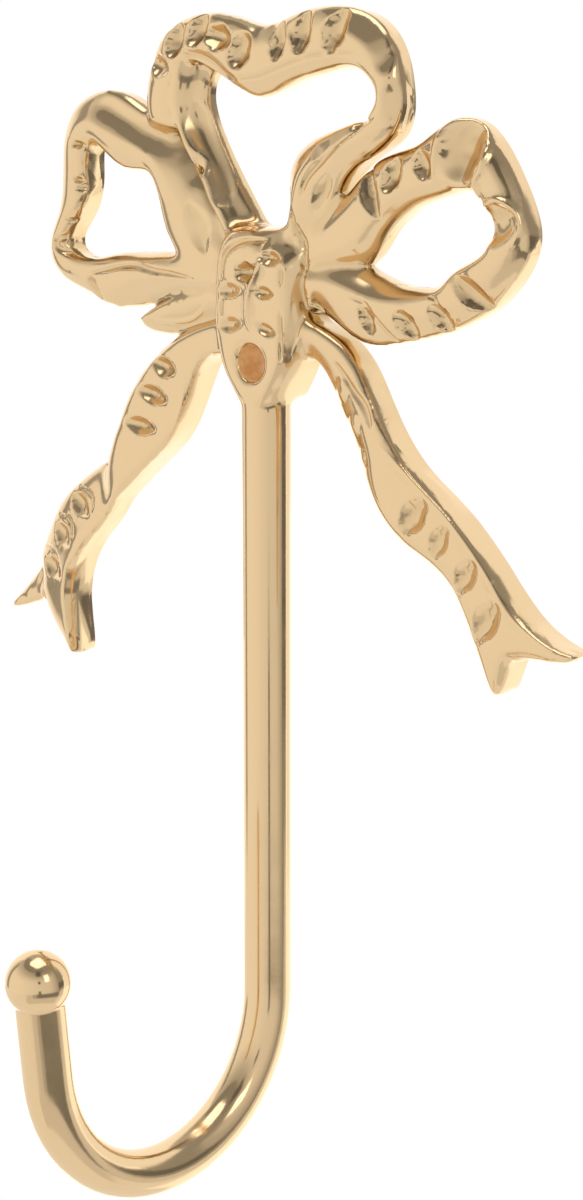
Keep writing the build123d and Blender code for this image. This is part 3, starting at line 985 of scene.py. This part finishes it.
def recesses(mesh, edges):
    """How much of the room around each point is shut off by the casting itself, from 0 to 1, for the painted
    shade in recesses.
    """
    reach = bpy.context.scene.bow_casting.recess_reach
    rays = [direction(azimuth + elevation, elevation)
            for elevation in RAY_ELEVATIONS for azimuth in RAY_AZIMUTHS]
    body = open_body(mesh)
    shell = BVHTree.FromBMesh(body)
    shut = np.zeros(len(body.verts))
    for index, vert in enumerate(body.verts):
        start = vert.co + vert.normal * RAY_START * MM
        shares = [(ray, ray.dot(vert.normal)) for ray in rays]
        shares = [(ray, share) for ray, share in shares if share > RAY_SLANT]
        blocked = sum(share for ray, share in shares if shell.ray_cast(start, ray, reach)[0] is not None)
        shut[index] = blocked / max(sum(share for _, share in shares), RAY_SLANT)
    body.free()
    return spread(shut, edges)


def mark_painted_shade_and_bore(mesh):
    """Stores the painted shade of hollows and of recesses that the casting shuts off, and where the screw
    hole is drilled.
    """
    points = points_of(mesh)
    edges = edges_of(mesh)
    off_wall = points[:, 1] < -TINT_OFF_WALL * MM
    drilled = np.hypot(points[:, 0], points[:, 2]) < (HOLE_RADIUS + BORE_MARGIN) * MM
    # Painted shade: how hollow each point is and how much the casting shuts it off, for darkening the gold
    store(mesh, "hollow", off_wall * hollowness(points, edges, normals_of(mesh)))
    store(mesh, "recess", off_wall * recesses(mesh, edges))
    store(mesh, "bore", off_wall * drilled)


def shade(mesh):
    """Shades the casting smooth, with its sharpest edges and its flat back kept."""
    mesh.shade_smooth()
    mesh.set_sharp_from_angle(angle=radians(SHARP_ANGLE))
    for face in mesh.polygons:
        if face.normal.y > 0.999 and face.center.y > -WALL_SLACK * MM:
            face.use_smooth = False


def plating():
    """Polished pale gold plating with painted shade in hollows and recesses, faintly clouded, and bare
    copper in the screw hole.
    """
    settings = bpy.context.scene.bow_plating
    material = bpy.data.materials.new("pale_gold_plating")
    material.use_nodes = True
    tree = material.node_tree
    place = add_node(tree, "ShaderNodeTexCoord").outputs["Object"]
    # Painted shade: the gold darkens towards the shaded gold in hollows, as a painted inter-reflection, and
    # where the casting shuts off the room around a point, as painted ambient shade
    hollow = maths(tree, "MULTIPLY", ramp(tree, stored(tree, "hollow"), 0.1, 0.9), 0.2)
    recess = maths(tree, "MULTIPLY", ramp(tree, stored(tree, "recess"), 0.2, 0.7), 0.6)
    painted_shade_share = maths(tree, "ADD", hollow, recess, clamp=True)
    gold = blend(tree, painted_shade_share, (*settings.gold, 1), (*settings.shaded_gold, 1))
    worn = ramp(tree, noise(tree, place, 700.0, 2.0), 0.4, 0.62)
    copper = blend(tree, worn, (*settings.copper, 1), (*settings.deep_copper, 1))
    bore = stored(tree, "bore")
    clouds = noise(tree, place, 180.0, 3.0)
    clouding = ramp(tree, clouds, 0.3, 0.7, settings.polish - 0.03, settings.polish + 0.05)
    dulling = maths(tree, "MULTIPLY", bore, settings.bore_dulling)
    marks = noise(tree, place, 900.0, 4.0)
    bump = fed(tree, "ShaderNodeBump", Strength=0.06, Distance=0.05 * MM, Height=marks)
    feed(tree, tree.nodes["Principled BSDF"], Base_Color=blend(tree, bore, gold, copper),
         Roughness=maths(tree, "MAXIMUM", clouding, dulling), Normal=bump.outputs[0],
         Metallic=maths(tree, "SUBTRACT", 1.0, maths(tree, "MULTIPLY", bore, 0.7)))
    return material


def plain_skin(settings):
    """The casting's skin without its rod, back and dimples, with soft edges and cut facets."""
    skin = even_skin(merged_casting(), settings.grain)
    body = open_body(skin)
    cut_rod(body)
    open_back(body)
    close_body(body, skin)
    rub_down(skin, settings.edge_passes)
    points = points_of(skin)
    normals = normals_of(skin)
    clear_dimples(points, edges_of(skin), normals)
    cut_facets(points, normals)
    place_points(skin, points)
    rub_down(skin, settings.facet_passes)
    points = points_of(skin)
    true_rod(points)
    true_hole(points)
    place_points(skin, points)
    return skin


def carved_skin(skin, settings, finish):
    """The skin with its soft waves, dimples, folds and ribs."""
    soft = swell(skin, settings, finish)
    groups = stroke_groups(settings.stroke_step / MM)
    strokes = np.vstack([rows for _, rows, *_ in groups])
    refine(soft, strokes[strokes[:, 2] < BROAD_STROKE])
    rub_down(soft, settings.polish_passes)
    carved = carve(soft, groups, finish)
    rub_down(carved, settings.polish_passes)
    polish_bowls(carved, settings.bowl_passes)
    return carved


def close_casting(mesh):
    """Closes the back, joins the turned rod and turns all faces outwards."""
    body = open_body(mesh)
    bmesh.ops.remove_doubles(body, verts=body.verts, dist=MERGE_DISTANCE * MM)
    fill_back(body)
    add_rod(body)
    bmesh.ops.holes_fill(body, edges=[edge for edge in body.edges if edge.is_boundary], sides=0)
    bmesh.ops.delete(body, geom=[vert for vert in body.verts if not vert.link_faces], context="VERTS")
    bmesh.ops.recalc_face_normals(body, faces=body.faces)
    close_body(body, mesh)


def casting():
    """The finished casting as one closed mesh."""
    settings = bpy.context.scene.bow_casting
    finish = plating()
    carved = carved_skin(plain_skin(settings), settings, finish)
    mark_painted_shade_and_bore(carved)
    mesh = thin_walls(carved, settings.wall_share)
    close_casting(mesh)
    shade(mesh)
    mesh.materials.clear()
    mesh.materials.append(finish)
    return mesh


def floor_panel(height, size):
    """The stage's square floor at a height."""
    half = size / 2
    mesh = bpy.data.meshes.new("floor")
    corners = [(-half, -half, height), (half, -half, height), (half, half, height), (-half, half, height)]
    mesh.from_pydata(corners, [], [(0, 1, 2, 3)])
    panel = new_object("floor", mesh)
    return panel


def white_to_eye(tree, lit, outlet):
    """Mixes a shader with plain white for what the eye, a mirror or a glass sees."""
    path = add_node(tree, "ShaderNodeLightPath").outputs
    seen = maths(tree, "MAXIMUM", path["Is Camera Ray"], path["Is Glossy Ray"])
    seen = maths(tree, "MAXIMUM", seen, path["Is Transmission Ray"])
    kind = "ShaderNodeBackground" if outlet.type == "OUTPUT_WORLD" else "ShaderNodeEmission"
    white = fed(tree, kind, Color=(1, 1, 1, 1))
    mix = fed(tree, "ShaderNodeMixShader", i0=seen, i1=lit, i2=white.outputs[0])
    tree.links.new(mix.outputs[0], outlet.inputs["Surface"])


def studio_card(name, azimuths, elevations, centre, radius):
    """A curved stage panel around the part that spans these angles."""
    columns = max(2, round((azimuths[1] - azimuths[0]) / PANEL_STEP) + 1)
    rows = max(2, round((elevations[1] - elevations[0]) / PANEL_STEP) + 1)
    points = []
    for elevation in np.linspace(*elevations, rows):
        for azimuth in np.linspace(*azimuths, columns):
            points.append(centre + direction(azimuth, elevation) * radius)
    faces = []
    for row in range(rows - 1):
        for column in range(columns - 1):
            corner = row * columns + column
            faces.append((corner, corner + columns, corner + columns + 1, corner + 1))
    mesh = bpy.data.meshes.new(name)
    mesh.from_pydata(points, [], faces)
    card = new_object(name, mesh)
    return card


def mirror_only(panel):
    """Lets only reflections see a panel."""
    for sight in ("camera", "diffuse", "transmission", "shadow", "volume_scatter"):
        setattr(panel, f"visible_{sight}", False)


def empty_material(name):
    """A material without nodes, and its tree."""
    material = bpy.data.materials.new(name)
    material.use_nodes = True
    material.node_tree.nodes.clear()
    return material, material.node_tree


def glow(name, brightness):
    """A plain glowing material."""
    material, tree = empty_material(name)
    lamp = fed(tree, "ShaderNodeEmission", Strength=brightness)
    fed(tree, "ShaderNodeOutputMaterial", Surface=lamp.outputs[0])
    return material


def fall(angle, angle_from, angle_to, amount):
    """How much a soft fall takes away at an angle."""
    share = min(max((angle - angle_from) / (angle_to - angle_from), 0), 1)
    return amount * share * share * (3 - 2 * share)


def room_dome(centre, brightness):
    """A curved stage panel all around the part, brightest to the front left."""
    dome = studio_card("room_dome", *DOME_SPAN, centre, DOME_RADIUS)
    tones = []
    for vert in dome.data.vertices:
        away = vert.co - centre
        azimuth = degrees(atan2(away.x, -away.y))
        elevation = degrees(asin(away.z / DOME_RADIUS))
        upright = fall(elevation, *FALL_UPWARD) + fall(elevation, *FALL_DOWNWARD)
        tones.append(brightness - fall(azimuth, *FALL_TO_RIGHT) - upright)
    store(dome.data, "tone", np.array(tones))
    material = glow("room_dome", 1.0)
    tree = material.node_tree
    feed(tree, tree.nodes["Emission"], Strength=stored(tree, "tone"))
    dome.data.materials.append(material)
    mirror_only(dome)


def soft_box(name, box, target, brightness):
    """An area lamp that faces the part, with this brightness on its face."""
    azimuth, elevation, width, height = box
    lamp = bpy.data.lights.new(name, "AREA")
    lamp.shape = "RECTANGLE"
    lamp.size = width
    lamp.size_y = height
    lamp.energy = brightness * pi * width * height
    obj = new_object(name, lamp)
    obj.location = target + direction(azimuth, elevation) * BOX_DISTANCE
    obj.rotation_euler = (target - obj.location).to_track_quat("-Z", "Y").to_euler()


def floor_finish(settings):
    """Pale floor that looks white and still takes a faint shadow."""
    material, tree = empty_material("pale_floor")
    matt = fed(tree, "ShaderNodeBsdfDiffuse", Color=(*settings.pale, 1))
    white_to_eye(tree, matt.outputs[0], add_node(tree, "ShaderNodeOutputMaterial"))
    return material


def white_room(brightness):
    """The white room all around."""
    world = bpy.data.worlds.new("white_room")
    bpy.context.scene.world = world
    world.use_nodes = True
    tree = world.node_tree
    room = feed(tree, tree.nodes["Background"], Color=(1, 1, 1, 1), Strength=brightness)
    white_to_eye(tree, room.outputs[0], tree.nodes["World Output"])


def add_camera(settings):
    """Camera at the photograph's place and angle."""
    lens = bpy.data.cameras.new("camera")
    lens.lens = settings.lens
    camera = new_object("camera", lens)
    camera.location = CAMERA_PLACE
    camera.rotation_euler = (radians(90 - CAMERA_ELEVATION), 0, radians(CAMERA_AZIMUTH))
    bpy.context.scene.camera = camera


def build_studio(settings):
    """Floor, white room, soft boxes, cards and camera."""
    low, high = cad_box
    middle = (low + high) / 2
    floor = floor_panel(low.z - settings.floor_drop, settings.floor_size)
    floor.data.materials.append(floor_finish(settings))
    white_room(settings.room_light)
    soft_box("key_soft_box", KEY_BOX, middle, settings.key_light)
    soft_box("top_soft_box", TOP_BOX, middle, settings.top_light)
    room_dome(middle, settings.dome_light)
    for index, (azimuths, elevations, brightness) in enumerate(CARDS):
        card = studio_card(f"card_{index}", azimuths, elevations, middle, CARD_RADIUS - CARD_GAP * index)
        card.data.materials.append(glow(f"card_{index}", brightness))
        mirror_only(card)
    add_camera(settings)
    bpy.context.scene.view_settings.view_transform = "Standard"


class BOWHOOK_OT_casting(bpy.types.Operator):
    """Make the finished casting in place of the plain solid"""
    bl_idname = "bowhook.casting"
    bl_label = "Bow and hook"

    def execute(self, context):
        piece = new_object("bow_hook_casting", casting())
        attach(piece, "root")
        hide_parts(NODE)
        return {"FINISHED"}


class BOWHOOK_OT_studio(bpy.types.Operator):
    """Set the floor, the light and the camera"""
    bl_idname = "bowhook.studio"
    bl_label = "Studio"

    def execute(self, context):
        build_studio(context.scene.bow_studio)
        return {"FINISHED"}


class BOWHOOK_PT_finish(bpy.types.Panel):
    """Sidebar panel of the bow hook"""
    bl_label = "Bow hook"
    bl_space_type = "VIEW_3D"
    bl_region_type = "UI"
    bl_category = "Bow hook"

    def draw(self, context):
        for operator in OPERATORS:
            self.layout.operator(operator.bl_idname)


SETTINGS = {"bow_casting": CastingSettings, "bow_plating": PlatingSettings, "bow_studio": StudioSettings}
OPERATORS = (BOWHOOK_OT_casting, BOWHOOK_OT_studio)
CLASSES = (*SETTINGS.values(), *OPERATORS, BOWHOOK_PT_finish)


def register():
    for item in CLASSES:
        bpy.utils.register_class(item)
    for name, group in SETTINGS.items():
        setattr(bpy.types.Scene, name, PointerProperty(type=group))


def unregister():
    for name in SETTINGS:
        delattr(bpy.types.Scene, name)
    for item in reversed(CLASSES):
        bpy.utils.unregister_class(item)


def main():
    register()
    bpy.ops.bowhook.casting()
    bpy.ops.bowhook.studio()


if __name__ == "__main__":
    main()
